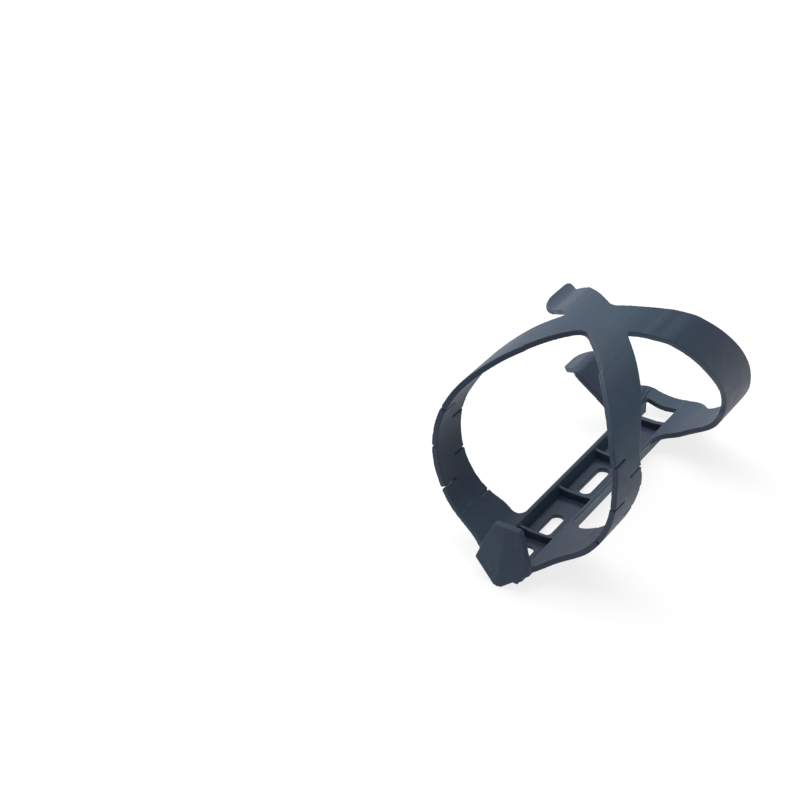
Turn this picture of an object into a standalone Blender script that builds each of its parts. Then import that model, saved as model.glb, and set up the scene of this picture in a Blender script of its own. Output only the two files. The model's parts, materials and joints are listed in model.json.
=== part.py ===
"""Side-entry bottle cage: a channel-section spine, two notched straps that cross
over the bottle, a closed loop on the +X side and a pair of flared jaws on the -X
side.  X is across the cage, Y runs along the bottle from the foot to the mouth,
Z rises from the underside of the spine towards the bottle."""
import math

import bmesh
import bpy
from mathutils import Matrix, Vector

MM = 0.001
GAP = 0.3
SEAT_Y = 61.0

# Bottle space
BOTTLE_R = 37.0
AXIS_Z = 43.3
DEGREE = math.radians(BOTTLE_R)
SEAM = GAP / 2.0 / DEGREE

# Spine channel
FLOOR_T = 2.8
RIM_Z = 7.0
FLOOR_HALF = 6.0
INNER_TOP = 7.1
OUTER_TOP = 9.1
OUTER_BOTTOM = 8.3
SPINE_START = 8.0
FLOOR_END = 130.0
RAIL_END = 139.4
KEEL_HALF = 4.5
KEEL_SLOPE = 0.62

# Cross ribs, end wall, bolt slots, and where the flat lands beside the slots begin and end
RIB_PITCH = 32.0
RIB_COUNT = 3
RIB_T = 1.6
END_WALL_T = 2.4
SLOT_W = 5.4
SLOTS = ((11.0, 27.5), (36.5, 52.0), (70.0, 91.5), (100.5, 116.0))
LANDS = (27.9, 31.0, 52.5, 64.0, 91.9, 95.0)

# Bands
BAND_T = 2.4
STATION = 4.0
ROOT_ANGLE = 14.8
TOP_ANGLE = 155.0
EDGE_ROUND = 0.45

# Inner radius of the bands against the angle from the spine
STRAP_RADIUS = ((14.8, 36.5), (29.0, 35.8), (52.0, 36.7), (92.0, 37.0), (112.0, 37.7),
                (128.0, 38.2), (145.0, 38.0), (158.0, 37.6))
LOOP_RADIUS = ((14.8, 36.6), (34.0, 36.4), (60.0, 39.0), (80.0, 39.2), (110.0, 39.1),
               (140.0, 39.1), (150.0, 38.1), (158.0, 37.6))
ARM_RADIUS = ((139.5, 37.0), (158.0, 37.6))

# Foot plate
FOOT_T = 3.0

# Upper lip: leaves the bottle at an angle and flares outwards
LIP_R = 8.0
LIP_START = 139.5
LIP_TURN = 62.0

# Lower jaw: a straight arm that leaves the rail, then an outward curl
JAW_ROOT = 7.6
JAW_RISE = math.radians(47.0)
JAW_STRAIGHT = 27.0
JAW_CURL_R = 4.2
JAW_TURN = math.radians(90.0)
JAW_START = 1.4
JAW_SPLIT = 23.0
JAW_LENGTH = 39.4

# Flex notches: angle from the spine, tip of the slit along Y
NEAR_NOTCHES = ((111.5, 26.1), (86.9, 24.1), (60.2, 23.6))
FAR_NOTCHES = ((99.4, 27.2), (73.0, 27.5), (41.4, 29.0))
NOTCH_W = 1.0
NOTCH_REACH = 16.0

# Strap edges as (angle from the spine, Y); both straps share them
STRAP_NEAR = ((14.8, 8.4), (18.0, 10.0), (22.0, 12.4), (28.0, 14.7), (36.0, 15.8), (48.0, 16.4),
              (62.0, 16.8), (90.0, 17.2), (104.0, 18.4), (114.0, 19.8), (124.0, 22.8),
              (136.0, 29.4), (148.0, 37.8), (156.0, 44.3))
STRAP_FAR = ((14.8, 46.6), (16.2, 42.6), (18.5, 39.6), (22.0, 37.9), (27.0, 36.9),
             (36.0, 36.0), (50.0, 34.8), (62.0, 34.0), (73.0, 34.1), (80.0, 35.2), (88.0, 35.6),
             (95.0, 35.0), (100.0, 34.6), (106.0, 35.6), (112.0, 37.8), (122.0, 43.6), (136.0, 54.2),
             (148.0, 62.6), (156.0, 68.2))

# Loop edges on the +X side
LOOP_NEAR = ((14.8, 114.0), (16.8, 117.0), (20.0, 118.8), (25.0, 119.3), (31.0, 119.3),
             (45.0, 119.0), (60.0, 116.8), (72.7, 113.3), (79.6, 111.9), (86.4, 109.7),
             (93.6, 106.8), (110.0, 98.6), (124.0, 92.4), (140.0, 85.0), (156.0, 76.6))
LOOP_FAR = ((14.8, 149.4), (20.0, 149.0), (25.0, 147.5), (29.5, 145.2), (33.5, 142.4),
            (37.5, 139.4), (43.0, 138.2), (50.0, 138.7), (55.0, 139.2), (60.6, 139.8),
            (66.0, 139.3), (70.0, 138.2), (75.0, 136.3), (81.0, 134.0), (88.4, 131.7),
            (97.3, 129.0), (107.5, 124.8), (118.4, 119.3), (127.0, 114.9), (139.2, 107.9),
            (149.0, 101.8), (158.0, 95.8))

# Free upper arm edges on the -X side
ARM_NEAR = ((156.0, 76.0), (147.0, 79.8), (139.5, 84.0), (132.0, 88.0))
ARM_FAR = ((156.0, 96.3), (147.0, 100.4), (139.5, 103.6), (132.0, 108.0))

# Lower jaw edges as (travel up the arm, Y)
JAW_NEAR = ((1.4, 114.5), (3.5, 117.8), (7.0, 118.6), (13.5, 117.5), (20.0, 115.9),
            (25.0, 114.6))
JAW_FAR = ((1.4, 149.0), (4.0, 147.0), (8.0, 143.4), (13.0, 139.4), (18.0, 136.2),
           (25.0, 133.6))

# Bridge bar between the two roots
BRIDGE_NEAR = ((-13.4, 143.0), (-6.0, 142.0), (0.0, 141.2), (8.0, 141.0), (14.4, 140.2))
BRIDGE_FAR = ((-13.4, 152.2), (-7.0, 151.5), (0.0, 151.2), (9.0, 150.2), (14.4, 149.4))

COLOURS = {
    "spine": (0.060, 0.078, 0.100),
    "strap": (0.068, 0.086, 0.110),
    "loop": (0.066, 0.082, 0.106),
    "jaw": (0.064, 0.084, 0.108),
}


def clear_scene():
    for item in list(bpy.data.objects):
        bpy.data.objects.remove(item, do_unlink=True)


def new_collection(name):
    group = bpy.data.collections.new(name)
    bpy.context.scene.collection.children.link(group)
    return group


def material(name):
    base = bpy.data.materials.new(name)
    base.use_nodes = True
    shader = base.node_tree.nodes["Principled BSDF"]
    red, green, blue = COLOURS[name.split("_")[0]]
    shader.inputs["Base Color"].default_value = (red, green, blue, 1.0)
    shader.inputs["Roughness"].default_value = 0.5
    base.diffuse_color = (red, green, blue, 1.0)
    return base


def smooth_edge(points, steps=5):
    """Catmull-Rom curve through edge points."""
    padded = [points[0]] + list(points) + [points[-1]]
    curve = []
    for i in range(1, len(padded) - 2):
        before, start, end, after = padded[i - 1:i + 3]
        for k in range(steps):
            t = k / steps
            curve.append(tuple(
                0.5 * (2.0 * start[n] + (end[n] - before[n]) * t
                       + (2.0 * before[n] - 5.0 * start[n] + 4.0 * end[n] - after[n]) * t ** 2
                       + (3.0 * start[n] - before[n] - 3.0 * end[n] + after[n]) * t ** 3)
                for n in (0, 1)))
    curve.append(tuple(points[-1]))
    return curve


def clip_edge(points, low, high):
    """Part of an edge between two stations, with both ends interpolated."""
    ordered = sorted(points)

    def at(along):
        for (a0, y0), (a1, y1) in zip(ordered[:-1], ordered[1:]):
            if a0 <= along <= a1 and a1 > a0:
                return y0 + (y1 - y0) * (along - a0) / (a1 - a0)
        return ordered[0][1] if along < ordered[0][0] else ordered[-1][1]

    inner = [p for p in ordered if low + 0.4 < p[0] < high - 0.4]
    return [(low, at(low))] + inner + [(high, at(high))]


def band_outline(near, far, low, high):
    """Closed outline of a band between two stations."""
    near_side = clip_edge(smooth_edge(near, 3), low, high)
    far_side = clip_edge(smooth_edge(far, 3), low, high)
    return near_side + far_side[::-1]


def mirrored(outline):
    return [(-angle, y) for angle, y in outline][::-1]


def fillet(corner, before, after, size, unit, steps=5):
    """Quadratic round between two sides that meet at a corner."""
    def towards(target):
        step = Vector(target) - Vector(corner)
        length = Vector((step.x * unit, step.y)).length
        return Vector(corner) + step * min(1.0, size / length)

    first, last = towards(before), towards(after)
    mid = Vector(corner)
    arc = []
    for k in range(steps + 1):
        t = k / steps
        point = first * (1 - t) ** 2 + mid * 2 * t * (1 - t) + last * t ** 2
        arc.append((point.x, point.y))
    return arc


def rounded_outline(corners, unit=DEGREE):
    """Outline from (station, Y, fillet size) corners."""
    outline = []
    count = len(corners)
    for i, (along, y, size) in enumerate(corners):
        if size <= 0.0:
            outline.append((along, y))
            continue
        before = corners[i - 1][:2]
        after = corners[(i + 1) % count][:2]
        outline += fillet((along, y), before, after, size, unit)
    return outline


def radius_at(profile, angle):
    """Inner radius of a band, eased between the profile's points."""
    reach = abs(angle)
    for (a0, r0), (a1, r1) in zip(profile[:-1], profile[1:]):
        if reach <= a1:
            t = max(0.0, (reach - a0) / (a1 - a0))
            return r0 + (r1 - r0) * t * t * (3.0 - 2.0 * t)
    return profile[-1][1]


def round_bottle(angle, y, radius):
    turn = math.radians(angle)
    return Vector((radius * math.sin(turn), y, AXIS_Z - radius * math.cos(turn)))


def on_profile(profile):
    """Mapping that bends a flat band round the bottle at the profile's radius."""
    def place(angle, y, height):
        return round_bottle(angle, y, radius_at(profile, angle) + height)
    return place


def on_bottle(angle, y, height):
    return round_bottle(angle, y, BOTTLE_R + height)


def on_upper_lip(angle, y, height):
    """Point on the upper lip, whose arc bends away from the bottle."""
    turn = (angle + LIP_START) * DEGREE / LIP_R
    outward = round_bottle(-LIP_START, 0.0, 1.0) - Vector((0.0, 0.0, AXIS_Z))
    along = Vector((outward.z, 0.0, -outward.x))
    centre = round_bottle(-LIP_START, y, BOTTLE_R + LIP_R)
    normal = outward * math.cos(turn) + along * math.sin(turn)
    return centre - normal * (LIP_R - height)


def on_lower_jaw(travel, y, height):
    """Point on the lower jaw, by travel up its inner face from the rail's rim."""
    straight = min(travel, JAW_STRAIGHT)
    turn = min(max(0.0, travel - JAW_STRAIGHT) / JAW_CURL_R, JAW_TURN)
    rest = max(0.0, travel - JAW_STRAIGHT - JAW_TURN * JAW_CURL_R)
    heading = JAW_RISE - turn
    out = JAW_ROOT + straight * math.cos(JAW_RISE) + rest * math.cos(heading)
    out += JAW_CURL_R * (math.sin(JAW_RISE) - math.sin(heading))
    up = RIM_Z + straight * math.sin(JAW_RISE) + rest * math.sin(heading)
    up += JAW_CURL_R * (math.cos(heading) - math.cos(JAW_RISE))
    return Vector((-out - height * math.sin(heading), y, up - height * math.cos(heading)))


def add_object(group, name, mesh, colour):
    """Adds a body in seat coordinates."""
    mesh.transform(Matrix.Translation((0.0, -SEAT_Y * MM, 0.0)))
    body = bpy.data.objects.new(name, mesh)
    mesh.materials.clear()
    mesh.materials.append(material(colour))
    group.objects.link(body)
    return body


def set_pivot(body, pivot):
    """Moves a body's origin onto its joint's axis without moving its shape."""
    point = (pivot - Vector((0.0, SEAT_Y, 0.0))) * MM
    body.data.transform(Matrix.Translation(-point))
    body.location = point


def curve_plate(outline, thickness):
    """Flat plate mesh from an outline in metres, centred on z = 0."""
    data = bpy.data.curves.new("outline", "CURVE")
    data.dimensions = "2D"
    data.fill_mode = "BOTH"
    data.extrude = thickness / 2.0
    spline = data.splines.new("POLY")
    spline.points.add(len(outline) - 1)
    for point, (x, y) in zip(spline.points, outline):
        point.co = (x, y, 0.0, 1.0)
    spline.use_cyclic_u = True
    holder = bpy.data.objects.new("outline", data)
    bpy.context.scene.collection.objects.link(holder)
    bpy.context.view_layer.update()
    mesh = bpy.data.meshes.new_from_object(holder)
    bpy.data.objects.remove(holder, do_unlink=True)
    return mesh


def round_edges(body, width=EDGE_ROUND):
    bevel = body.modifiers.new("round", "BEVEL")
    bevel.width = width * MM
    bevel.segments = 2
    bevel.limit_method = "ANGLE"
    bevel.angle_limit = math.radians(50.0)


def wrapped(group, name, outline, colour, place, thickness=BAND_T, unit=DEGREE, station=STATION):
    """Plate with an outline in (station, Y), bent into place."""
    flat = [(a * unit * MM, y * MM) for a, y in outline]
    mesh = curve_plate(flat, thickness * MM)
    shape = bmesh.new()
    shape.from_mesh(mesh)
    bmesh.ops.remove_doubles(shape, verts=shape.verts, dist=0.00001)
    first = math.floor(min(a for a, y in outline) / station) + 1
    last = math.ceil(max(a for a, y in outline) / station)
    for k in range(first, last):
        cut = Vector((k * station * unit * MM, 0.0, 0.0))
        everything = shape.verts[:] + shape.edges[:] + shape.faces[:]
        bmesh.ops.bisect_plane(shape, geom=everything, dist=0.00002,
                               plane_co=cut, plane_no=(1.0, 0.0, 0.0))
    bmesh.ops.dissolve_degenerate(shape, dist=0.00002, edges=shape.edges)
    for vert in shape.verts:
        height = vert.co.z / MM + thickness / 2.0
        vert.co = place(vert.co.x / MM / unit, vert.co.y / MM, height) * MM
    bmesh.ops.triangulate(shape, faces=[f for f in shape.faces if len(f.verts) > 4])
    bmesh.ops.recalc_face_normals(shape, faces=shape.faces)
    shape.to_mesh(mesh)
    shape.free()
    body = add_object(group, name, mesh, colour)
    round_edges(body)
    return body


def prism(group, name, section, stations, colour):
    """Straight bar along Y from a section in (x, z), with a ring at each station."""
    shape = bmesh.new()
    rings = []
    for y in stations:
        rings.append([shape.verts.new((x * MM, y * MM, keel(x, y, z) * MM)) for x, z in section])
    shape.faces.new(rings[0])
    shape.faces.new(rings[-1][::-1])
    for ring, following in zip(rings[:-1], rings[1:]):
        for i in range(len(section)):
            j = (i + 1) % len(section)
            shape.faces.new((ring[j], ring[i], following[i], following[j]))
    bmesh.ops.recalc_face_normals(shape, faces=shape.faces)
    mesh = bpy.data.meshes.new(name)
    shape.to_mesh(mesh)
    shape.free()
    return add_object(group, name, mesh, colour)


def keel(x, y, z):
    """Height of a spine point; outside the keel the underside rises towards the foot."""
    share = (RAIL_END - y) / (RAIL_END - SPINE_START)
    return max(z, share * KEEL_SLOPE * (abs(x) - KEEL_HALF))


def cut_with(body, tool):
    boolean = body.modifiers.new("cut", "BOOLEAN")
    boolean.operation = "DIFFERENCE"
    boolean.solver = "EXACT"
    boolean.object = tool


def through_tool(group, name, outline, depth):
    """Cutter from an outline in mm, centred on its own origin."""
    mesh = curve_plate([(x * MM, y * MM) for x, y in outline], depth * MM)
    shape = bmesh.new()
    shape.from_mesh(mesh)
    bmesh.ops.remove_doubles(shape, verts=shape.verts, dist=0.00001)
    bmesh.ops.recalc_face_normals(shape, faces=shape.faces)
    shape.to_mesh(mesh)
    shape.free()
    tool = bpy.data.objects.new(name, mesh)
    group.objects.link(tool)
    tool.hide_render = True
    tool.display_type = "WIRE"
    return tool


def slot_tool(group, name, start, end):
    """Round-ended through cutter for one bolt slot."""
    half = SLOT_W / 2.0
    reach = (end - start) / 2.0 - half
    outline = []
    for centre, turn in ((reach, 0.0), (-reach, 180.0)):
        for k in range(9):
            a = math.radians(turn + k * 22.5)
            outline.append((half * math.cos(a), centre + half * math.sin(a)))
    tool = through_tool(group, name, outline, 12.0)
    tool.location = (0.0, ((start + end) / 2.0 - SEAT_Y) * MM, 0.0)
    return tool


def notch_tool(group, name, angle, tip, way):
    """Slit cutter along Y with a round tip; way is -1 towards the foot."""
    half = NOTCH_W / 2.0
    outline = [(-half, way * NOTCH_REACH), (half, way * NOTCH_REACH)]
    for k in range(7):
        a = math.radians(k * 30.0)
        outline.append((half * math.cos(a), -way * half * math.sin(a)))
    if way > 0:
        outline.reverse()
    tool = through_tool(group, name, outline, 9.0)
    tool.location = on_bottle(angle, tip + way * half - SEAT_Y, BAND_T / 2.0) * MM
    tool.rotation_euler = (0.0, math.pi - math.radians(angle), 0.0)
    return tool


def build_spine(parts, tools):
    section = ((-FLOOR_HALF, 0.0), (-KEEL_HALF, 0.0), (KEEL_HALF, 0.0), (FLOOR_HALF, 0.0),
               (FLOOR_HALF, FLOOR_T), (-FLOOR_HALF, FLOOR_T))
    stations = (SPINE_START,) + LANDS + (FLOOR_END,)
    floor = prism(parts, "spine_floor", section, stations, "spine_floor")
    for k, (start, end) in enumerate(SLOTS):
        cut_with(floor, slot_tool(tools, "slot_%d" % (k + 1), start, end))
    inner = FLOOR_HALF + GAP
    for side, word in ((-1, "left"), (1, "right")):
        section = ((inner, 0.0), (OUTER_BOTTOM, 0.0), (OUTER_TOP, RIM_Z),
                   (INNER_TOP, RIM_Z), (inner, FLOOR_T))
        rail = prism(parts, "rail_" + word, [(side * x, z) for x, z in section],
                     (SPINE_START, RAIL_END), "spine_rail_" + word)
        round_edges(rail, 0.25)
    for k in range(RIB_COUNT):
        centre = RIB_PITCH * (k + 1)
        build_rib(parts, "rib_%d" % (k + 1), centre - RIB_T / 2.0, centre + RIB_T / 2.0)
    build_rib(parts, "end_wall", FLOOR_END - END_WALL_T, FLOOR_END)


def build_rib(parts, name, start, end):
    """Cross wall in the channel with a top that follows the bottle."""
    low = FLOOR_T + GAP
    slope = (INNER_TOP - FLOOR_HALF - GAP) / (RIM_Z - FLOOR_T)
    bottom = FLOOR_HALF + slope * GAP
    top = INNER_TOP - GAP
    section = [(-bottom, low), (bottom, low)]
    for i in range(9):
        x = top * (1.0 - i / 4.0)
        section.append((x, AXIS_Z - math.sqrt(BOTTLE_R ** 2 - x ** 2)))
    prism(parts, name, section, (start, end), "spine_" + name)


def build_foot(parts):
    """Creased shield that stops the bottle's base."""
    rim = ((0.0, 1.0, 0.0), (1.6, 1.1, 0.2), (11.5, 4.4, 7.0), (8.4, 5.4, 14.6),
           (4.9, 6.5, 23.4), (4.2, 6.6, 24.2), (0.0, 6.0, 24.4))
    loop = [Vector(p) for p in rim]
    loop += [Vector((-p.x, p.y, p.z)) for p in loop[-2:0:-1]]
    middle = [Vector((0.0, 2.4, 7.0)), Vector((0.0, 4.2, 15.0))]
    shape = bmesh.new()
    layers = []
    for shift in (0.0, FOOT_T):
        rows = []
        for row in (loop, middle):
            rows.append([shape.verts.new((p.x * MM, (p.y + shift) * MM, p.z * MM)) for p in row])
        layers.append(rows)
    for outer, (low, high) in layers:
        for rail in (outer[:7], [outer[0]] + outer[:5:-1]):
            shape.faces.new((rail[0], rail[1], rail[2], low))
            shape.faces.new((low, rail[2], rail[3], high))
            shape.faces.new((high, rail[3], rail[4], rail[5], rail[6]))
    front, back = layers[0][0], layers[1][0]
    for i in range(len(front)):
        j = (i + 1) % len(front)
        shape.faces.new((front[i], front[j], back[j], back[i]))
    bmesh.ops.triangulate(shape, faces=shape.faces)
    bmesh.ops.recalc_face_normals(shape, faces=shape.faces)
    mesh = bpy.data.meshes.new("foot_stop")
    shape.to_mesh(mesh)
    shape.free()
    add_object(parts, "foot_stop", mesh, "spine_foot")


def build_straps(parts, tools):
    """Two straps, each as a root, a notched side and a rise to the crossing."""
    spans = (("root", ROOT_ANGLE, 50.0), ("side", 50.0, 104.5), ("rise", 104.5, TOP_ANGLE))
    for side, word in ((-1, "left"), (1, "right")):
        for part, low, high in spans:
            outline = band_outline(STRAP_NEAR, STRAP_FAR, low + SEAM, high - SEAM)
            if side < 0:
                outline = mirrored(outline)
            name = "strap_%s_%s" % (word, part)
            strap = wrapped(parts, name, outline, name, on_profile(STRAP_RADIUS))
            for kind, notches, way in (("near", NEAR_NOTCHES, -1), ("far", FAR_NOTCHES, 1)):
                for i, (angle, tip) in enumerate(notches):
                    if low < angle < high:
                        tool = notch_tool(tools, "%s_%s_%d" % (word, kind, i),
                                          side * angle, tip, way)
                        cut_with(strap, tool)


def build_crossing(parts):
    """Diamond where the straps cross, with filleted corners between the arms."""
    low, high = TOP_ANGLE + SEAM, 360.0 - TOP_ANGLE - SEAM
    corners = [
        (low, 44.0, 0.0), (166.0, 52.6, 0.0), (174.0, 58.2, 0.0), (180.0, 62.0, 3.5),
        (186.0, 58.2, 0.0), (194.0, 52.6, 0.0), (high, 44.0, 0.0),
        (high, 67.4, 0.0), (198.6, 71.8, 1.6), (high, 75.8, 0.0),
        (high, 96.0, 0.0), (193.0, 90.4, 0.0), (180.0, 83.0, 3.0),
        (166.8, 90.2, 0.0), (low, 97.6, 0.0),
        (low, 77.0, 0.0), (161.4, 72.2, 1.6), (low, 67.4, 0.0),
    ]
    wrapped(parts, "strap_crossing", rounded_outline(corners), "strap_crossing",
            on_profile(((154.0, 37.7), (160.0, 37.6))))


def build_loop(parts):
    """Closed loop on the +X side, from the crossing round to the spine."""
    spans = (("root", ROOT_ANGLE, 44.0), ("low", 44.0, 78.0), ("side", 78.0, 116.0),
             ("high", 116.0, TOP_ANGLE))
    for part, low, high in spans:
        outline = band_outline(LOOP_NEAR, LOOP_FAR, low + SEAM, high - SEAM)
        name = "loop_" + part
        wrapped(parts, name, outline, name, on_profile(LOOP_RADIUS))


def build_upper_jaw(parts):
    """Free arm from the crossing and its flared lip, on the -X side."""
    pivot = round_bottle(-TOP_ANGLE, 86.0, radius_at(ARM_RADIUS, TOP_ANGLE) + BAND_T)
    outline = mirrored(band_outline(ARM_NEAR, ARM_FAR, LIP_START + SEAM, TOP_ANGLE - SEAM))
    arm = wrapped(parts, "upper_arm", outline, "jaw_upper_arm", on_profile(ARM_RADIUS))
    start = -LIP_START + SEAM
    tip = -LIP_START + math.radians(LIP_TURN) * LIP_R / DEGREE
    corners = [(start, 84.1, 0.0), (tip, 89.4, 5.0), (tip, 110.6, 3.6), (start, 103.7, 0.0)]
    lip = wrapped(parts, "upper_lip", rounded_outline(corners), "jaw_upper_lip", on_upper_lip)
    for body in (arm, lip):
        set_pivot(body, pivot)


def build_lower_jaw(parts):
    """Straight arm from the spine and its curled lip, on the -X side."""
    pivot = on_lower_jaw(JAW_START, 132.0, BAND_T)
    outline = band_outline(JAW_NEAR, JAW_FAR, JAW_START, JAW_SPLIT - GAP / 2.0)
    arm = wrapped(parts, "lower_arm", outline, "jaw_lower_arm", on_lower_jaw, BAND_T, 1.0)
    start = JAW_SPLIT + GAP / 2.0
    corners = [(start, 115.1, 0.0), (28.5, 114.0, 2.0), (JAW_LENGTH, 120.6, 2.4),
               (JAW_LENGTH, 133.6, 5.0), (30.0, 133.4, 2.0), (start, 134.5, 0.0)]
    lip = wrapped(parts, "lower_lip", rounded_outline(corners, 1.0), "jaw_lower_lip",
                  on_lower_jaw, BAND_T, 1.0, 1.2)
    for body in (arm, lip):
        set_pivot(body, pivot)


def build_bridge(parts):
    """Bar across the far end of the spine's window."""
    outline = smooth_edge(BRIDGE_NEAR, 3) + smooth_edge(BRIDGE_FAR, 3)[::-1]
    wrapped(parts, "bridge_bar", outline, "spine_bridge", on_bottle)


def main():
    clear_scene()
    parts = new_collection("bottle_cage")
    tools = new_collection("cutters")
    build_spine(parts, tools)
    build_foot(parts)
    build_straps(parts, tools)
    build_crossing(parts)
    build_loop(parts)
    build_upper_jaw(parts)
    build_lower_jaw(parts)
    build_bridge(parts)


main()
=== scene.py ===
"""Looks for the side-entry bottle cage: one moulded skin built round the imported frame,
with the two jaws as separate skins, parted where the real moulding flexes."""
import json
import math

import bmesh
import bpy
import numpy as np
from mathutils import Matrix, Vector


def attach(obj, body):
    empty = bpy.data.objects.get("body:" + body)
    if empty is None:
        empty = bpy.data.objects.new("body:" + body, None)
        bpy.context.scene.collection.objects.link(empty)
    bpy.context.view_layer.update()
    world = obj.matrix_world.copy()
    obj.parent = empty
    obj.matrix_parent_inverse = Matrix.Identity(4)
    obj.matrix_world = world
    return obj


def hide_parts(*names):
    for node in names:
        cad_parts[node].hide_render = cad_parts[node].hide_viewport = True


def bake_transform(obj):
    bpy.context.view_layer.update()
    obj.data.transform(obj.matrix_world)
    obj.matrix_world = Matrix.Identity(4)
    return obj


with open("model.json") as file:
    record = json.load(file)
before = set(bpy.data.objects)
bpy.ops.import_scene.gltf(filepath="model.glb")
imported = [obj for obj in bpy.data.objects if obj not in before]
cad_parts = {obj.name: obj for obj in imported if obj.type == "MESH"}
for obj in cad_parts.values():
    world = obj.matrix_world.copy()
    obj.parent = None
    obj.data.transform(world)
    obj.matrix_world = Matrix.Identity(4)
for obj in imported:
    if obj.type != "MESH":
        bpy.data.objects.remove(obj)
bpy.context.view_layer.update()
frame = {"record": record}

MM = 0.001
SEAT_Y = 61.0

# Bottle space
BOTTLE_R = 37.0
AXIS_Z = 43.3
DEGREE = math.radians(BOTTLE_R)

# Spine channel
FLOOR_T = 2.8
RIM_Z = 7.0
FLOOR_HALF = 6.2
INNER_TOP = (7.8, 7.75)
OUTER_TOP = (9.6, 8.3)
OUTER_BOTTOM = 8.0
SPINE_START = 6.2
FLOOR_START = 4.6
SPINE_END = 143.5
FLOOR_END = 130.0
KEEL_START = 8.0
KEEL_END = 55.0
KEEL_FLAT = 4.5
KEEL_SLOPE = 0.62
RAIL_SPANS = 20
RAIL_LAP = 0.6
FLOOR_LAP = 0.7
TAIL_LAP = 1.0
TAIL_FOOT_T = 0.8
TAIL_WAIST_T = 0.7
RIB_YS = (32.0, 64.0, 96.0)
RIB_T = 1.6
END_WALL_T = 2.4
SLOT_W = 5.4
SLOT_INSET = 0.2
SLOT_TOOL_T = 12.0
SLOTS = ((11.0, 27.5), (36.5, 52.0), (70.0, 91.5), (100.5, 116.0))

# Bands
BAND_T = 2.4
STATION = 1.5
TOP_ANGLE = 155.0
OVERLAP = 0.7
BAND_START = 12.2
STRAP_RADIUS = ((12.0, 36.4), (15.0, 36.3), (29.0, 35.8), (52.0, 36.7), (92.0, 37.0),
                (112.0, 37.7), (128.0, 38.2), (145.0, 38.0), (158.0, 37.6))
LOOP_RADIUS = ((12.0, 36.4), (15.0, 36.4), (34.0, 36.4), (60.0, 39.0), (80.0, 39.2),
               (110.0, 39.1), (140.0, 39.1), (150.0, 38.1), (158.0, 37.6))
ARM_RADIUS = ((139.5, 37.0), (158.0, 37.6))
TOP_RADIUS = ((154.0, 37.7), (160.0, 37.6))
BRIDGE_RADIUS = ((0.0, 36.9), (9.0, 36.7), (14.0, 36.3), (26.0, 36.3))

# Foot plate: half of its rim from the bottom up, then the points along its crease
FOOT_T = 3.0
FOOT_RIM = ((0.0, 1.0, 0.0), (1.6, 1.1, 0.2), (11.8, 4.4, 7.3), (9.2, 5.4, 14.8),
            (6.2, 6.5, 22.6), (5.2, 6.6, 23.8), (0.0, 6.1, 24.3))
FOOT_CREASE = ((0.0, 1.9, 7.0), (0.0, 3.6, 15.0))

# Upper lip
LIP_R = 8.0
LIP_START = 139.5
LIP_TURN = 67.0

# Lower jaw
JAW_ROOT = 7.6
JAW_RISE = math.radians(47.0)
JAW_STRAIGHT = 27.0
JAW_CURL_R = 4.2
JAW_TURN = math.radians(78.0)
JAW_LENGTH = 39.7
JAW_FOOT = -1.0
JAW_NECK = (22.9, 23.6)
BRIDGE_JOIN_Y = 141.0
BRIDGE_JOIN_WIDTH = 8.0
BRIDGE_JOIN_ANGLE = 12.0

# Flex notches: angle from the spine, tip of the slit along Y
NEAR_NOTCHES = ((60.2, 23.6), (86.9, 24.1), (111.5, 26.1))
FAR_NOTCHES = ((41.4, 29.0), (73.0, 27.5), (99.4, 27.2))
NOTCH_W = 0.66
NOTCH_MOUTH = 0.4
NOTCH_TIGHT_MOUTH = 0.1
NOTCH_TIP_STEPS = 6

# Slant of the straps' far end face between the upper two notches
SLANT = 1.8
SLANT_MIDDLE = 89.0
SLANT_REACH = 15.0
SLANT_FROM_Y = 29.0
SLANT_EASE = 4.0

# Band edges: angle from the spine (travel for the jaw), Y

STRAP_NEAR = ((10.5, 6.6), (14.8, 8.0), (18.0, 9.2), (22.0, 11.0), (28.0, 12.7),
              (36.0, 13.9), (42.0, 14.4), (48.0, 14.8), (55.0, 15.1), (62.0, 15.6),
              (70.0, 15.8), (80.0, 16.1), (90.0, 16.4), (100.0, 17.0), (108.0, 18.2),
              (114.0, 19.0), (124.0, 22.0), (136.0, 28.7), (148.0, 37.1), (156.0, 43.7))
RIGHT_ROOT_NEAR = ((10.5, 6.0), (14.8, 7.6), (18.0, 9.2), (22.0, 11.6), (28.0, 14.4),
                   (36.0, 16.0), (46.0, 16.5), (55.0, 16.6), (62.0, 16.4), (70.0, 16.2))
RIGHT_ROOT_FAR = ((12.0, 46.0), (15.0, 44.4), (18.0, 42.8), (20.0, 41.8), (22.0, 40.6),
                  (24.5, 38.8), (27.0, 38.2), (30.0, 37.5), (34.0, 37.0), (40.0, 36.4),
                  (50.0, 35.6), (62.0, 35.3), (73.0, 35.5))
STRAP_FAR = ((12.0, 45.0), (13.8, 43.6), (14.9, 40.6), (16.2, 38.0), (18.4, 36.4),
             (21.5, 36.0), (26.0, 36.4), (31.0, 36.4), (38.0, 35.7), (50.0, 35.0), (62.0, 34.6),
             (73.0, 34.7), (80.0, 35.6), (88.0, 36.2), (95.0, 36.0), (100.0, 35.9),
             (106.0, 36.4), (112.0, 38.4), (122.0, 44.0), (136.0, 54.4), (148.0, 62.8),
             (156.0, 68.4))
LOOP_NEAR = ((10.5, 108.5), (14.8, 113.8), (16.8, 116.8), (20.0, 118.6), (25.0, 119.1),
             (31.0, 119.2), (45.0, 119.3), (60.0, 117.2), (72.7, 113.0), (79.6, 111.3),
             (86.4, 109.0), (93.6, 106.3), (110.0, 98.2), (124.0, 91.9), (140.0, 84.4),
             (156.0, 76.1))
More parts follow.
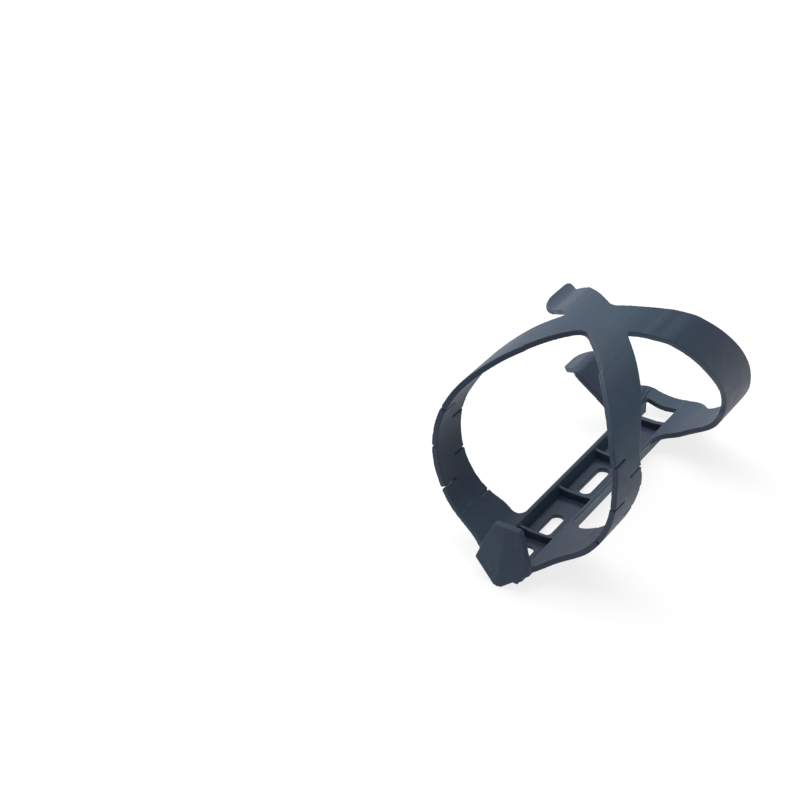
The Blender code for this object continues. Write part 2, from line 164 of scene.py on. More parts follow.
LOOP_FAR = ((10.5, 149.6), (14.8, 149.4), (20.0, 149.0), (25.0, 147.5), (29.5, 145.2),
            (33.5, 142.4), (37.5, 139.4), (43.0, 138.2), (50.0, 138.7), (55.0, 139.2),
            (60.6, 140.3), (66.0, 140.3), (70.0, 139.7), (75.0, 137.8), (81.0, 135.3),
            (88.4, 132.8), (97.3, 129.5), (107.5, 125.1), (118.4, 119.7), (127.0, 115.3),
            (139.2, 108.8), (149.0, 103.6), (158.0, 97.8))
ARM_NEAR = ((158.0, 75.2), (156.0, 75.8), (147.0, 79.6), (139.5, 83.8), (132.0, 87.8))
ARM_FAR = ((158.0, 96.8), (156.0, 97.7), (147.0, 101.0), (139.5, 104.0), (132.0, 108.2))
JAW_NEAR = ((-1.0, 110.5), (1.4, 114.5), (3.5, 117.8), (7.0, 118.6), (13.5, 117.5),
            (20.0, 115.9), (25.0, 114.6))
JAW_FAR = ((-1.0, 152.0), (1.4, 151.8), (4.0, 150.4), (8.0, 146.0), (13.0, 140.6),
           (18.0, 136.6), (25.0, 133.8))
BRIDGE_NEAR = ((-12.0, 143.6), (-6.0, 142.9), (0.0, 142.1), (8.0, 141.8), (14.4, 141.0),
               (20.0, 140.6), (25.0, 140.4))
BRIDGE_FAR = ((-12.0, 152.0), (-7.0, 151.6), (0.0, 151.2), (9.0, 150.4), (14.4, 149.6),
              (20.0, 147.6), (25.0, 141.6))

# Skin
VOXEL = 0.0003
SMOOTH_STEPS = 4
SMOOTH_FACTOR = 0.5
KEEP_SHARE = 0.32

# Joints: where each jaw's skin is parted from the rest and where it bends
UPPER_Y = 86.0
UPPER_CUT = 160.6
UPPER_FROM_Y = 71.9
LOWER_Y = 132.0
LOWER_CUT = 1.7
LOWER_BEND = (1.9, 9.0)
LOWER_FROM_X = -6.0
LOWER_FROM_Y = 108.0
JAWS_SPLIT_Z = 0.055
STILL, UPPER, LOWER, CAP = 0, 1, 2, 9

# Looks
SLATE_COOL = (0.027, 0.049, 0.076)
SLATE_WARM = (0.034, 0.043, 0.070)
FLOOR_TONES = ((0.19, 0.19, 0.191), (0.21, 0.21, 0.21))
FLOOR_GLOW = 0.80
FLOOR_SIZE = 3.0
FLOOR_DROP = 0.0001
ROOM_COLOUR = (0.97, 0.985, 1.0, 1.0)
ROOM_STRENGTH = 0.36

# View: turn, tilt and roll in degrees, offset in mm, focal length over frame width
VIEW_ANGLES = (31.59, 32.37, 0.98)
VIEW_OFFSET = (36.1, -71.2, 770.3)
VIEW_FOCAL = 2032.5 / 800.0


def smooth_edge(points, steps):
    """Catmull-Rom curve through edge points."""
    padded = [points[0]] + list(points) + [points[-1]]
    curve = []
    for i in range(1, len(padded) - 2):
        before, start, end, after = padded[i - 1:i + 3]
        for k in range(steps):
            t = k / steps
            curve.append(tuple(
                0.5 * (2.0 * start[n] + (end[n] - before[n]) * t
                       + (2.0 * before[n] - 5.0 * start[n] + 4.0 * end[n] - after[n]) * t ** 2
                       + (3.0 * start[n] - before[n] - 3.0 * end[n] + after[n]) * t ** 3)
                for n in (0, 1)))
    curve.append(tuple(points[-1]))
    return curve


def edge_at(curve, along):
    for (a0, y0), (a1, y1) in zip(curve[:-1], curve[1:]):
        if a0 <= along <= a1 and a1 > a0:
            return y0 + (y1 - y0) * (along - a0) / (a1 - a0)
    return curve[0][1] if along < curve[0][0] else curve[-1][1]


def clip_edge(points, low, high):
    """Part of an edge between two stations, with both ends interpolated."""
    curve = sorted(points)
    inner = [p for p in curve if low + 0.2 < p[0] < high - 0.2]
    return [(low, edge_at(curve, low))] + inner + [(high, edge_at(curve, high))]


def band_outline(near, far, low, high):
    near_side = clip_edge(smooth_edge(near, 4), low, high)
    far_side = clip_edge(smooth_edge(far, 4), low, high)
    return near_side + far_side[::-1]


def notched(curve, notches, way):
    """Edge with slits cut into it; way is +1 where the slits run towards +Y."""
    half = NOTCH_W / 2.0 / DEGREE
    mouth = NOTCH_MOUTH / DEGREE if way > 0 else NOTCH_TIGHT_MOUTH
    out = []
    rest = list(notches)
    for point in curve:
        while rest and point[0] > rest[0][0] - half - mouth:
            angle, tip = rest.pop(0)
            lip = [(-half - mouth, 0.0), (-half - mouth * 0.3, 0.18), (-half, NOTCH_MOUTH)]
            out += [(angle + a, edge_at(curve, angle + a) + way * d) for a, d in lip]
            centre = tip - way * NOTCH_W / 2.0
            for k in range(NOTCH_TIP_STEPS + 1):
                turn = math.pi * k / NOTCH_TIP_STEPS
                out.append((angle - half * math.cos(turn),
                            centre + way * NOTCH_W / 2.0 * math.sin(turn)))
            out += [(angle - a, edge_at(curve, angle - a) + way * d) for a, d in lip[::-1]]
        if not out or point[0] > out[-1][0] + 0.05:
            out.append(point)
    return out


def mirrored(outline):
    return [(-angle, y) for angle, y in outline][::-1]


def rounded_outline(corners, unit=DEGREE, steps=8):
    """Outline from (station, Y, fillet size) corners."""
    outline = []
    for i, (along, y, size) in enumerate(corners):
        if size <= 0.0:
            outline.append((along, y))
            continue
        mid = Vector((along, y))
        sides = []
        for other in (corners[i - 1], corners[(i + 1) % len(corners)]):
            step = Vector(other[:2]) - mid
            length = Vector((step.x * unit, step.y)).length
            sides.append(mid + step * min(1.0, size / length))
        for k in range(steps + 1):
            t = k / steps
            point = sides[0] * (1 - t) ** 2 + mid * 2 * t * (1 - t) + sides[1] * t ** 2
            outline.append((point.x, point.y))
    return outline


def radius_at(profile, angle):
    """Inner radius of a band, eased between the profile's points."""
    reach = abs(angle)
    if reach <= profile[0][0]:
        return profile[0][1]
    for (a0, r0), (a1, r1) in zip(profile[:-1], profile[1:]):
        if reach <= a1:
            t = max(0.0, (reach - a0) / (a1 - a0))
            return r0 + (r1 - r0) * t * t * (3.0 - 2.0 * t)
    return profile[-1][1]


def round_bottle(angle, y, radius):
    turn = math.radians(angle)
    return Vector((radius * math.sin(turn), y, AXIS_Z - radius * math.cos(turn)))


def on_profile(profile):
    def place(angle, y, height):
        return round_bottle(angle, y, radius_at(profile, angle) + height)
    return place


def on_strap(angle, y, height):
    """Point on a strap, whose far end face slants between the upper two notches."""
    share = max(0.0, 1.0 - abs(abs(angle) - SLANT_MIDDLE) / SLANT_REACH)
    share *= min(1.0, max(0.0, (y - SLANT_FROM_Y) / SLANT_EASE))
    y += SLANT * math.sqrt(share) * (2.0 * height / BAND_T - 1.0)
    return round_bottle(angle, y, radius_at(STRAP_RADIUS, angle) + height)


def on_bridge(angle, y, height):
    """Point on the bridge, which keeps one radius on the jaw's side."""
    return round_bottle(angle, y, radius_at(BRIDGE_RADIUS, max(0.0, angle)) + height)


def on_upper_lip(angle, y, height):
    """Point on the upper lip, whose arc bends away from the bottle."""
    turn = (angle + LIP_START) * DEGREE / LIP_R
    outward = round_bottle(-LIP_START, 0.0, 1.0) - Vector((0.0, 0.0, AXIS_Z))
    along = Vector((outward.z, 0.0, -outward.x))
    centre = round_bottle(-LIP_START, y, BOTTLE_R + LIP_R)
    normal = outward * math.cos(turn) + along * math.sin(turn)
    return centre - normal * (LIP_R - height)


def on_lower_jaw(travel, y, height):
    """Point on the lower jaw, by travel up its inner face from the rail's rim."""
    straight = min(travel, JAW_STRAIGHT)
    turn = min(max(0.0, travel - JAW_STRAIGHT) / JAW_CURL_R, JAW_TURN)
    rest = max(0.0, travel - JAW_STRAIGHT - JAW_TURN * JAW_CURL_R)
    heading = JAW_RISE - turn
    out = JAW_ROOT + straight * math.cos(JAW_RISE) + rest * math.cos(heading)
    out += JAW_CURL_R * (math.sin(JAW_RISE) - math.sin(heading))
    up = RIM_Z + straight * math.sin(JAW_RISE) + rest * math.sin(heading)
    up += JAW_CURL_R * (math.cos(heading) - math.cos(JAW_RISE))
    return Vector((-out - height * math.sin(heading), y, up - height * math.cos(heading)))


def on_jaw_root(travel, y, height):
    """Lower jaw whose far corner sinks into the curve of the bridge."""
    share = min(1.0, max(0.0, (y - BRIDGE_JOIN_Y) / BRIDGE_JOIN_WIDTH))
    share *= share * (3.0 - 2.0 * share)
    low = on_bridge(-(BRIDGE_JOIN_ANGLE + travel / DEGREE), y, height)
    return on_lower_jaw(travel, y, height).lerp(low, share)


def seat(point):
    return Vector((point[0], point[1] - SEAT_Y, point[2])) * MM


def flat_plate(outline, thickness):
    """Flat plate mesh from an outline in mm, centred on z = 0."""
    data = bpy.data.curves.new("outline", "CURVE")
    data.dimensions = "2D"
    data.fill_mode = "BOTH"
    data.extrude = thickness / 2.0
    spline = data.splines.new("POLY")
    spline.points.add(len(outline) - 1)
    for point, (x, y) in zip(spline.points, outline):
        point.co = (x, y, 0.0, 1.0)
    spline.use_cyclic_u = True
    holder = bpy.data.objects.new("outline", data)
    bpy.context.scene.collection.objects.link(holder)
    bpy.context.view_layer.update()
    mesh = bpy.data.meshes.new_from_object(holder)
    bpy.data.objects.remove(holder, do_unlink=True)
    shape = bmesh.new()
    shape.from_mesh(mesh)
    bpy.data.meshes.remove(mesh)
    bmesh.ops.remove_doubles(shape, verts=shape.verts, dist=0.005)
    return shape


def bent_plate(outline, place, unit=DEGREE, station=STATION, thickness=BAND_T):
    """Plate with an outline in (station, Y), bent into place."""
    shape = flat_plate([(a * unit, y) for a, y in outline], thickness)
    first = math.floor(min(a for a, y in outline) / station) + 1
    last = math.ceil(max(a for a, y in outline) / station)
    for k in range(first, last):
        everything = shape.verts[:] + shape.edges[:] + shape.faces[:]
        bmesh.ops.bisect_plane(shape, geom=everything, dist=0.01,
                               plane_co=(k * station * unit, 0.0, 0.0), plane_no=(1.0, 0.0, 0.0))
    for vert in shape.verts:
        vert.co = seat(place(vert.co.x / unit, vert.co.y, vert.co.z + thickness / 2.0))
    bmesh.ops.triangulate(shape, faces=shape.faces)
    bmesh.ops.recalc_face_normals(shape, faces=shape.faces)
    return shape


def keel(x, y, z):
    """Height of an underside point; the edges rise towards the foot."""
    share = min(1.0, max(0.0, (KEEL_END - y) / (KEEL_END - KEEL_START)))
    return max(z, share * KEEL_SLOPE * max(0.0, abs(x) - KEEL_FLAT))


def bar(section, stations):
    """Bar along Y from a section in (x, z)."""
    shape = bmesh.new()
    rings = []
    for y in stations:
        rings.append([shape.verts.new(seat((x, y, keel(x, y, z)))) for x, z in section])
    shape.faces.new(rings[0])
    shape.faces.new(rings[-1][::-1])
    for ring, following in zip(rings[:-1], rings[1:]):
        for i in range(len(section)):
            j = (i + 1) % len(section)
            shape.faces.new((ring[j], ring[i], following[i], following[j]))
    bmesh.ops.triangulate(shape, faces=shape.faces)
    bmesh.ops.recalc_face_normals(shape, faces=shape.faces)
    return shape


def slot_outline(start, end):
    half = SLOT_W / 2.0 - SLOT_INSET
    middle = (start + end) / 2.0
    reach = (end - start) / 2.0 - SLOT_W / 2.0
    outline = []
    for centre, turn in ((reach, 0.0), (-reach, 180.0)):
        for k in range(13):
            a = math.radians(turn + k * 15.0)
            outline.append((half * math.cos(a), middle + centre + half * math.sin(a)))
    return outline


def spine_shapes():
    """Slotted floor, rails, ribs and end wall."""
    stations = [SPINE_START + (FLOOR_END - SPINE_START) * k / RAIL_SPANS
                for k in range(RAIL_SPANS + 1)]
    reach = FLOOR_HALF + FLOOR_LAP
    floor = flat_plate([(-reach, FLOOR_START), (reach, FLOOR_START), (reach, FLOOR_END),
                        (-reach, FLOOR_END)], FLOOR_T)
    for vert in floor.verts:
        x, y, z = vert.co
        vert.co = seat((x, y, keel(x, y, z + FLOOR_T / 2.0)))
    bmesh.ops.recalc_face_normals(floor, faces=floor.faces)
    shapes = []
    ends = [FLOOR_END - TAIL_LAP, (FLOOR_END + SPINE_END) / 2.0, SPINE_END]
    for side in (-1, 1):
        section = ((FLOOR_HALF - RAIL_LAP, 0.0), (OUTER_BOTTOM, 0.0), OUTER_TOP, INNER_TOP,
                   (FLOOR_HALF, FLOOR_T), (FLOOR_HALF - RAIL_LAP, FLOOR_T))
        shapes.append(bar([(side * x, z) for x, z in section], stations))
        section = ((OUTER_BOTTOM - TAIL_FOOT_T, 0.0), (OUTER_BOTTOM, 0.0), OUTER_TOP,
                   INNER_TOP, (OUTER_BOTTOM - TAIL_WAIST_T, FLOOR_T))
        shapes.append(bar([(side * x, z) for x, z in section], ends))
    for centre in RIB_YS:
        shapes.append(rib(centre - RIB_T / 2.0, centre + RIB_T / 2.0))
    shapes.append(rib(FLOOR_END - END_WALL_T, FLOOR_END))
    return floor, shapes


def rib(start, end):
    """Cross wall whose top follows the bottle."""
    section = [(-FLOOR_HALF - 0.2, 1.0), (FLOOR_HALF + 0.2, 1.0)]
    top = INNER_TOP[0]
    for i in range(13):
        x = top * (1.0 - i / 6.0)
        section.append((x, AXIS_Z - math.sqrt(BOTTLE_R ** 2 - x ** 2)))
    return bar(section, (start, end))


def foot_shape():
    """Creased shield that stops the bottle's base."""
    loop = [Vector(p) for p in FOOT_RIM]
    loop += [Vector((-p.x, p.y, p.z)) for p in loop[-2:0:-1]]
    middle = [Vector(p) for p in FOOT_CREASE]
    shape = bmesh.new()
    layers = []
    for shift in (0.0, FOOT_T):
        layers.append([[shape.verts.new(seat((p.x, p.y + shift, p.z))) for p in row]
                       for row in (loop, middle)])
    for outer, (low, high) in layers:
        for rail in (outer[:7], [outer[0]] + outer[:5:-1]):
            shape.faces.new((rail[0], rail[1], rail[2], low))
            shape.faces.new((low, rail[2], rail[3], high))
            shape.faces.new((high, rail[3], rail[4], rail[5], rail[6]))
    front, back = layers[0][0], layers[1][0]
    for i in range(len(front)):
        j = (i + 1) % len(front)
        shape.faces.new((front[i], front[j], back[j], back[i]))
    bmesh.ops.triangulate(shape, faces=shape.faces)
    bmesh.ops.recalc_face_normals(shape, faces=shape.faces)
    return shape


def rooted(root, edge):
    """Strap edge with its lower part taken from a root table."""
    return root + tuple(p for p in edge if p[0] > root[-1][0])


def strap_edge(points, notches, way):
    curve = clip_edge(smooth_edge(points, 6), BAND_START, TOP_ANGLE + OVERLAP)
    return notched(curve, notches, way)


def strap_shapes():
    """Both notched straps and the crossing over the bottle."""
    near = strap_edge(STRAP_NEAR, NEAR_NOTCHES, 1)
    far = strap_edge(STRAP_FAR, FAR_NOTCHES, -1)
    right_near = strap_edge(rooted(RIGHT_ROOT_NEAR, STRAP_NEAR), NEAR_NOTCHES, 1)
    right_far = strap_edge(rooted(RIGHT_ROOT_FAR, STRAP_FAR), FAR_NOTCHES, -1)
    shapes = [bent_plate(right_near + right_far[::-1], on_strap),
              bent_plate(mirrored(near + far[::-1]), on_strap)]
    low, high = TOP_ANGLE - OVERLAP, 360.0 - TOP_ANGLE + OVERLAP
    corners = [
        (low, 43.5, 0.0), (166.0, 52.3, 0.0), (174.0, 58.0, 0.0), (180.0, 61.8, 3.5),
        (186.0, 58.0, 0.0), (194.0, 52.3, 0.0), (high, 43.5, 0.0),
        (high, 67.2, 0.0), (198.6, 71.8, 1.6), (high, 76.1, 0.0),
        (high, 98.7, 0.0), (193.0, 91.8, 0.0), (180.0, 84.0, 3.0),
        (166.8, 91.5, 0.0), (low, 100.2, 0.0),
        (low, 77.3, 0.0), (161.4, 72.2, 1.6), (low, 67.0, 0.0),
    ]
    shapes.append(bent_plate(rounded_outline(corners), on_profile(TOP_RADIUS)))
    return shapes


def arm_shapes():
    """Loop, bridge and the two jaws."""
    loop = band_outline(LOOP_NEAR, LOOP_FAR, BAND_START, TOP_ANGLE + OVERLAP)
    shapes = [bent_plate(loop, on_profile(LOOP_RADIUS))]
    bridge = smooth_edge(BRIDGE_NEAR, 4) + smooth_edge(BRIDGE_FAR, 4)[::-1]
    shapes.append(bent_plate(bridge, on_bridge))
    arm = mirrored(band_outline(ARM_NEAR, ARM_FAR, LIP_START - 0.3, TOP_ANGLE + OVERLAP))
    shapes.append(bent_plate(arm, on_profile(ARM_RADIUS)))
    start = -LIP_START - 0.3
    tip = -LIP_START + math.radians(LIP_TURN) * LIP_R / DEGREE
    corners = [(start, 83.8, 0.0), (tip, 88.8, 6.6), (tip, 111.4, 6.4), (start, 104.2, 0.0)]
    shapes.append(bent_plate(rounded_outline(corners), on_upper_lip))
    neck, root_end = JAW_NECK
    jaw = band_outline(JAW_NEAR, JAW_FAR, JAW_FOOT, root_end)
    shapes.append(bent_plate(jaw, on_jaw_root, 1.0))
    corners = [(neck, 115.1, 0.0), (28.5, 114.0, 2.0), (JAW_LENGTH, 120.6, 2.4),
               (JAW_LENGTH, 133.6, 5.0), (30.0, 133.4, 2.0), (neck, 134.5, 0.0)]
    shapes.append(bent_plate(rounded_outline(corners, 1.0), on_lower_jaw, 1.0, 0.6))
    return shapes


def as_object(shape, name):
    mesh = bpy.data.meshes.new(name)
    shape.to_mesh(mesh)
    shape.free()
    body = bpy.data.objects.new(name, mesh)
    bpy.context.scene.collection.objects.link(body)
    return body


def baked(body):
    """Replaces a body's mesh with its modified one."""
    bpy.context.view_layer.update()
    graph = bpy.context.evaluated_depsgraph_get()
    mesh = bpy.data.meshes.new_from_object(body.evaluated_get(graph))
    body.modifiers.clear()
    old = body.data
    body.data = mesh
    bpy.data.meshes.remove(old)
    return body


def slotted(floor):
    """Floor with its bolt slots cut through."""
    body = as_object(floor, "floor_plate")
    tools = []
    for start, end in SLOTS:
        tool_shape = flat_plate(slot_outline(start, end), SLOT_TOOL_T)
        for vert in tool_shape.verts:
            vert.co = seat(vert.co)
        bmesh.ops.recalc_face_normals(tool_shape, faces=tool_shape.faces)
        tool = as_object(tool_shape, "slot_tool")
        cut = body.modifiers.new("cut", "BOOLEAN")
        cut.operation = "DIFFERENCE"
        cut.solver = "EXACT"
        cut.object = tool
        tools.append(tool)
    baked(body)
    for tool in tools:
        bpy.data.objects.remove(tool, do_unlink=True)
    return body


def moulded_skin():
    """Every region joined and rounded into one continuous moulding."""
    floor, shapes = spine_shapes()
    shapes += [foot_shape()] + strap_shapes() + arm_shapes()
    plate = slotted(floor)
    whole = bmesh.new()
    whole.from_mesh(plate.data)
    bpy.data.objects.remove(plate, do_unlink=True)
    for shape in shapes:
        mesh = bpy.data.meshes.new("region")
        shape.to_mesh(mesh)
        shape.free()
        whole.from_mesh(mesh)
        bpy.data.meshes.remove(mesh)
    body = as_object(whole, "cage")
    remesh = body.modifiers.new("moulding", "REMESH")
    remesh.mode = "VOXEL"
    remesh.voxel_size = VOXEL
    soften = body.modifiers.new("soften", "SMOOTH")
    soften.factor = SMOOTH_FACTOR
    soften.iterations = SMOOTH_STEPS
    thin = body.modifiers.new("thin", "DECIMATE")
    thin.ratio = KEEP_SHARE
    return baked(body)


def keep_normals(mesh):
    """Stores the smooth normals as a point attribute, so that the pieces share them."""
    count = len(mesh.vertices)
    normals = np.zeros(count * 3, np.float32)
    mesh.vertex_normals.foreach_get("vector", normals)
    layer = mesh.attributes.new("smooth_normal", "FLOAT_VECTOR", "POINT")
    layer.data.foreach_set("vector", normals)


def in_upper_region(c):
    return c.x < 0.0 and c.y > (UPPER_FROM_Y - SEAT_Y) * MM and c.z > JAWS_SPLIT_Z


def in_lower_region(c):
    return (c.x < LOWER_FROM_X * MM and c.y > (LOWER_FROM_Y - SEAT_Y) * MM
            and c.z < JAWS_SPLIT_Z)


def part_along(shape, region, point, normal, layer, number):
    """Cuts the skin in a region by a plane and numbers the faces beyond it."""
    faces = [f for f in shape.faces if region(f.calc_center_median())]
    edges = list({e for f in faces for e in f.edges})
    verts = list({v for f in faces for v in f.verts})
    bmesh.ops.bisect_plane(shape, geom=verts + edges + faces, dist=1e-7,
                           plane_co=point, plane_no=normal)
    for face in shape.faces:
        centre = face.calc_center_median()
        if region(centre) and (centre - point).dot(normal) > 0.0:
            face[layer] = number


def parted(body):
    """The skin as three closed pieces: the still part and the two jaws."""
    keep_normals(body.data)
    shape = bmesh.new()
    shape.from_mesh(body.data)
    layer = shape.faces.layers.int.new("region")
    cut = round_bottle(-UPPER_CUT, UPPER_Y, BOTTLE_R)
    along = (round_bottle(-UPPER_CUT + 0.5, UPPER_Y, BOTTLE_R)
             - round_bottle(-UPPER_CUT - 0.5, UPPER_Y, BOTTLE_R))
    part_along(shape, in_upper_region, seat(cut), along.normalized(), layer, UPPER)
    cut = on_lower_jaw(LOWER_CUT, LOWER_Y, 0.0)
    along = Vector((-math.cos(JAW_RISE), 0.0, math.sin(JAW_RISE)))
    part_along(shape, in_lower_region, seat(cut), along, layer, LOWER)
    bodies = []
    for number, name in ((STILL, "cage_moulding"), (UPPER, "upper_jaw_skin"),
                         (LOWER, "lower_jaw_skin")):
        bodies.append(one_piece(shape, number, name))
    shape.free()
    bpy.data.objects.remove(body, do_unlink=True)
    return bodies


def one_piece(whole, number, name):
    """One region of the skin, closed with a cap where it was cut."""
    shape = whole.copy()
    layer = shape.faces.layers.int["region"]
    away = [f for f in shape.faces if f[layer] != number]
    bmesh.ops.delete(shape, geom=away, context="FACES")
    rim = [e for e in shape.edges if e.is_boundary]
    made = bmesh.ops.triangle_fill(shape, use_beauty=True, use_dissolve=False, edges=rim)
    for item in made["geom"]:
        if isinstance(item, bmesh.types.BMFace):
            item[layer] = CAP
    bmesh.ops.triangulate(shape, faces=[f for f in shape.faces if len(f.verts) > 4])
    bmesh.ops.recalc_face_normals(shape, faces=[f for f in shape.faces if f[layer] == CAP])
    for face in shape.faces:
        face.smooth = True
    piece = as_object(shape, name)
    share_normals(piece.data)
    return piece


def share_normals(mesh):
    """Puts the whole skin's normals back on a piece, with flat caps."""
    normals = np.zeros(len(mesh.vertices) * 3, np.float32)
    mesh.attributes["smooth_normal"].data.foreach_get("vector", normals)
    normals = normals.reshape(-1, 3)
    normals /= np.maximum(np.linalg.norm(normals, axis=1, keepdims=True), 1e-9)
    regions = np.zeros(len(mesh.polygons), np.int32)
    mesh.attributes["region"].data.foreach_get("value", regions)
    corner = np.zeros(len(mesh.loops), np.int32)
    mesh.loops.foreach_get("vertex_index", corner)
    per_loop = normals[corner]
    for polygon in mesh.polygons:
        if regions[polygon.index] == CAP:
            for k in polygon.loop_indices:
                per_loop[k] = polygon.normal
    mesh.normals_split_custom_set(per_loop.tolist())
    mesh.attributes.remove(mesh.attributes["smooth_normal"])
    mesh.attributes.remove(mesh.attributes["region"])


def node(tree, kind, place, **settings):
    made = tree.nodes.new(kind)
    made.location = place
    for key, value in settings.items():
        setattr(made, key, value)
    return made


def noise(tree, place, vector, scale, detail, roughness=0.5):
    made = node(tree, "ShaderNodeTexNoise", place)
    made.inputs["Scale"].default_value = scale
    made.inputs["Detail"].default_value = detail
    made.inputs["Roughness"].default_value = roughness
    tree.links.new(vector, made.inputs["Vector"])
    return made


def spread(tree, place, value, low, high, to_low=0.0, to_high=1.0):
    made = node(tree, "ShaderNodeMapRange", place)
    for socket, number in zip(("From Min", "From Max", "To Min", "To Max"),
                              (low, high, to_low, to_high)):
        made.inputs[socket].default_value = number
    tree.links.new(value, made.inputs["Value"])
    return made.outputs["Result"]


def mixed(tree, place, share, first, second, blend="MIX"):
    """Colour mix; each colour is a socket or an RGB tuple."""
    made = node(tree, "ShaderNodeMix", place, data_type="RGBA", blend_type=blend)
    sockets = [s for s in made.inputs if s.type == "RGBA"]
    for socket, colour in zip(sockets, (first, second)):
        if isinstance(colour, tuple):
            socket.default_value = (*colour, 1.0)
        else:
            tree.links.new(colour, socket)
    factor = made.inputs[0]
    if isinstance(share, float):
        factor.default_value = share
    else:
        tree.links.new(share, factor)
    return [s for s in made.outputs if s.type == "RGBA"][0]


def moulded_plastic(name, cool, warm):
    """Slate nylon moulding: slow colour drift, spark-eroded grain, and a painted highlight along
    the edges, which are also made a little smoother.
    """
    material = bpy.data.materials.new(name)
    material.use_nodes = True
    tree = material.node_tree
    shader = tree.nodes["Principled BSDF"]
    place = node(tree, "ShaderNodeTexCoord", (-1400, 0)).outputs["Object"]
    drift = noise(tree, (-1200, 300), place, 22.0, 2.0)
    flow = noise(tree, (-1200, 100), place, 130.0, 4.0, 0.6)
    speck = noise(tree, (-1200, -100), place, 1500.0, 3.0, 0.7)
    grain = noise(tree, (-1200, -300), place, 1300.0, 5.0, 0.7)
    colour = mixed(tree, (-800, 300), spread(tree, (-1000, 300), drift.outputs["Fac"], 0.38, 0.62),
                   cool, warm)
    lighter = tuple(c * 1.16 + 0.002 for c in cool)
    colour = mixed(tree, (-640, 300), spread(tree, (-1000, 100), flow.outputs["Fac"], 0.5, 0.75,
                                             0.0, 0.35), colour, lighter)
    colour = mixed(tree, (-480, 300), spread(tree, (-1000, -100), speck.outputs["Fac"], 0.45, 0.8,
                                             0.0, 0.7), colour, tuple(c * 1.7 for c in cool))
    shape = node(tree, "ShaderNodeNewGeometry", (-1400, -500))
    # Painted highlight: edges with high pointiness are lightened towards a paler slate, and below,
    # the same mask lowers their roughness.
    painted_edge_highlight = spread(tree, (-1000, -500), shape.outputs["Pointiness"], 0.53, 0.60, 0.0, 0.5)
    colour = mixed(tree, (-320, 300), painted_edge_highlight, colour, tuple(c * 1.9 + 0.004 for c in cool))
    tree.links.new(colour, shader.inputs["Base Color"])
    rough = spread(tree, (-800, 0), flow.outputs["Fac"], 0.3, 0.7, 0.44, 0.56)
    burnish = node(tree, "ShaderNodeMath", (-480, 0), operation="MULTIPLY_ADD")
    burnish.inputs[1].default_value = -0.16
    tree.links.new(painted_edge_highlight, burnish.inputs[0])
    tree.links.new(rough, burnish.inputs[2])
    tree.links.new(burnish.outputs[0], shader.inputs["Roughness"])
    bump = node(tree, "ShaderNodeBump", (-320, -200))
    bump.inputs["Strength"].default_value = 0.6
    bump.inputs["Distance"].default_value = 0.00006
    tree.links.new(grain.outputs["Fac"], bump.inputs["Height"])
    tree.links.new(bump.outputs["Normal"], shader.inputs["Normal"])
    shader.inputs["IOR"].default_value = 1.5
    shader.inputs["Specular IOR Level"].default_value = 0.22
    return material


def floor_material():
    material = bpy.data.materials.new("studio_floor")
    material.use_nodes = True
    tree = material.node_tree
    shader = tree.nodes["Principled BSDF"]
    place = node(tree, "ShaderNodeTexCoord", (-800, 0)).outputs["Object"]
    cloud = noise(tree, (-600, 0), place, 3.0, 2.0)
    colour = mixed(tree, (-300, 0), cloud.outputs["Fac"], *FLOOR_TONES)
    tree.links.new(colour, shader.inputs["Base Color"])
    shader.inputs["Roughness"].default_value = 0.85
    shader.inputs["Specular IOR Level"].default_value = 0.1
    shader.inputs["Emission Color"].default_value = (1.0, 1.0, 1.0, 1.0)
    shader.inputs["Emission Strength"].default_value = FLOOR_GLOW
    return material


def studio_floor():
    shape = bmesh.new()
    bmesh.ops.create_grid(shape, x_segments=8, y_segments=8, size=FLOOR_SIZE)
    for vert in shape.verts:
        vert.co.z = -FLOOR_DROP
    floor = as_object(shape, "studio_floor")
    floor.data.materials.append(floor_material())


def soft_light(name, place, aim, size, power, colour):
    data = bpy.data.lights.new(name, "AREA")
    data.shape = "RECTANGLE"
    data.size, data.size_y = size
    data.energy = power
    data.color = colour
    lamp = bpy.data.objects.new(name, data)
    bpy.context.scene.collection.objects.link(lamp)
    lamp.location = place
    lamp.rotation_mode = "QUATERNION"
    lamp.rotation_quaternion = (Vector(aim) - Vector(place)).to_track_quat("-Z", "Y")


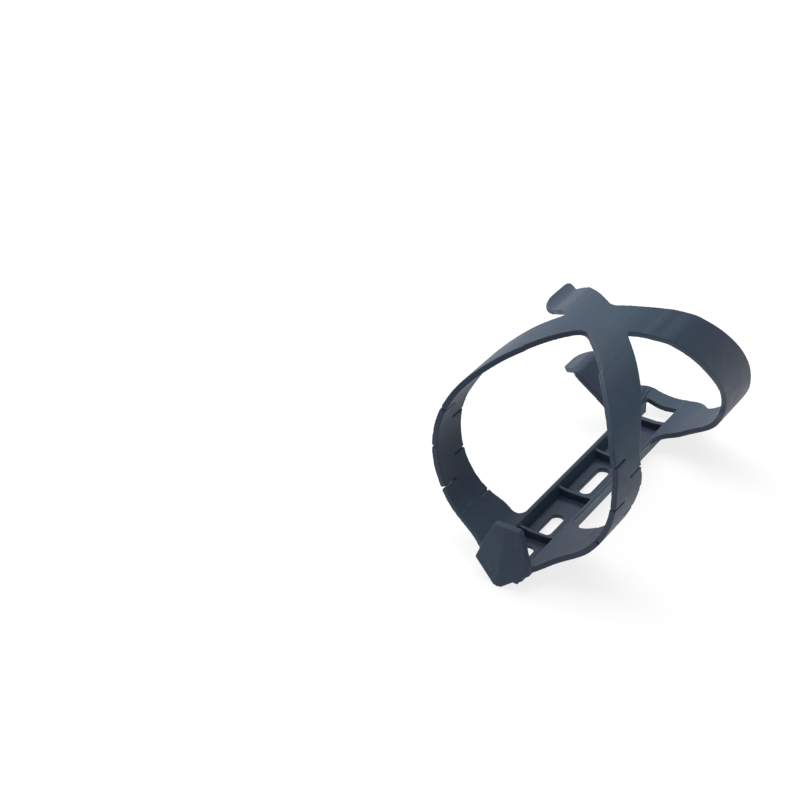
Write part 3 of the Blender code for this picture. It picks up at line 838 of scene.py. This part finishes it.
def studio():
    """Pale room with a large softbox overhead and a broad one behind the left shoulder."""
    world = bpy.data.worlds.new("studio")
    world.use_nodes = True
    background = world.node_tree.nodes["Background"]
    background.inputs["Color"].default_value = ROOM_COLOUR
    background.inputs["Strength"].default_value = ROOM_STRENGTH
    bpy.context.scene.world = world
    soft_light("top_softbox", (-0.25, 0.3, 1.1), (0.0, 0.0, 0.03), (1.3, 1.3), 15.0,
               (1.0, 0.99, 0.98))
    soft_light("left_softbox", (-0.9, 0.25, 0.55), (0.0, 0.0, 0.04), (0.9, 0.6), 7.0,
               (0.96, 0.98, 1.0))
    bpy.context.scene.view_settings.view_transform = "Standard"


def camera():
    """Long lens on the foot end, from above and to the left of the spine."""
    turn, tilt, roll = (math.radians(a) for a in VIEW_ANGLES)
    right = Vector((math.cos(turn), math.sin(turn), 0.0))
    ahead = Vector((-math.sin(turn) * math.cos(tilt), math.cos(turn) * math.cos(tilt),
                    -math.sin(tilt)))
    up = right.cross(ahead)
    across = right * math.cos(roll) + up * math.sin(roll)
    upright = up * math.cos(roll) - right * math.sin(roll)
    aside, above, away = VIEW_OFFSET
    centre = -(across * aside + upright * above + ahead * away)
    data = bpy.data.cameras.new("view")
    data.sensor_width = 36.0
    data.lens = VIEW_FOCAL * data.sensor_width
    data.clip_start, data.clip_end = 0.01, 20.0
    view = bpy.data.objects.new("view", data)
    bpy.context.scene.collection.objects.link(view)
    axes = Matrix((across, upright, -ahead)).transposed()
    view.matrix_world = Matrix.Translation(seat(centre)) @ axes.to_4x4()
    bpy.context.scene.camera = view


def dress(pieces):
    """Materials and slots for every piece, the frame body for the still piece, and hiding the CAD
    nodes each piece stands for.
    """
    still, upper, lower = pieces
    material = moulded_plastic("slate_nylon", SLATE_COOL, SLATE_WARM)
    for piece in pieces:
        piece.data.materials.clear()
        piece.data.materials.append(material)
    nodes = frame["record"]["behaviour"]["bodies"]
    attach(still, "frame")
    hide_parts(*nodes["frame"])
    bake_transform(upper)
    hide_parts(*nodes["upper_jaw"])
    seat(on_lower_jaw(LOWER_BEND[0], LOWER_Y, BAND_T / 2.0))
    seat(on_lower_jaw(LOWER_BEND[1], LOWER_Y, BAND_T / 2.0))
    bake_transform(lower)
    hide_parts(*nodes["lower_jaw"])


dress(parted(moulded_skin()))
studio_floor()
studio()
camera()
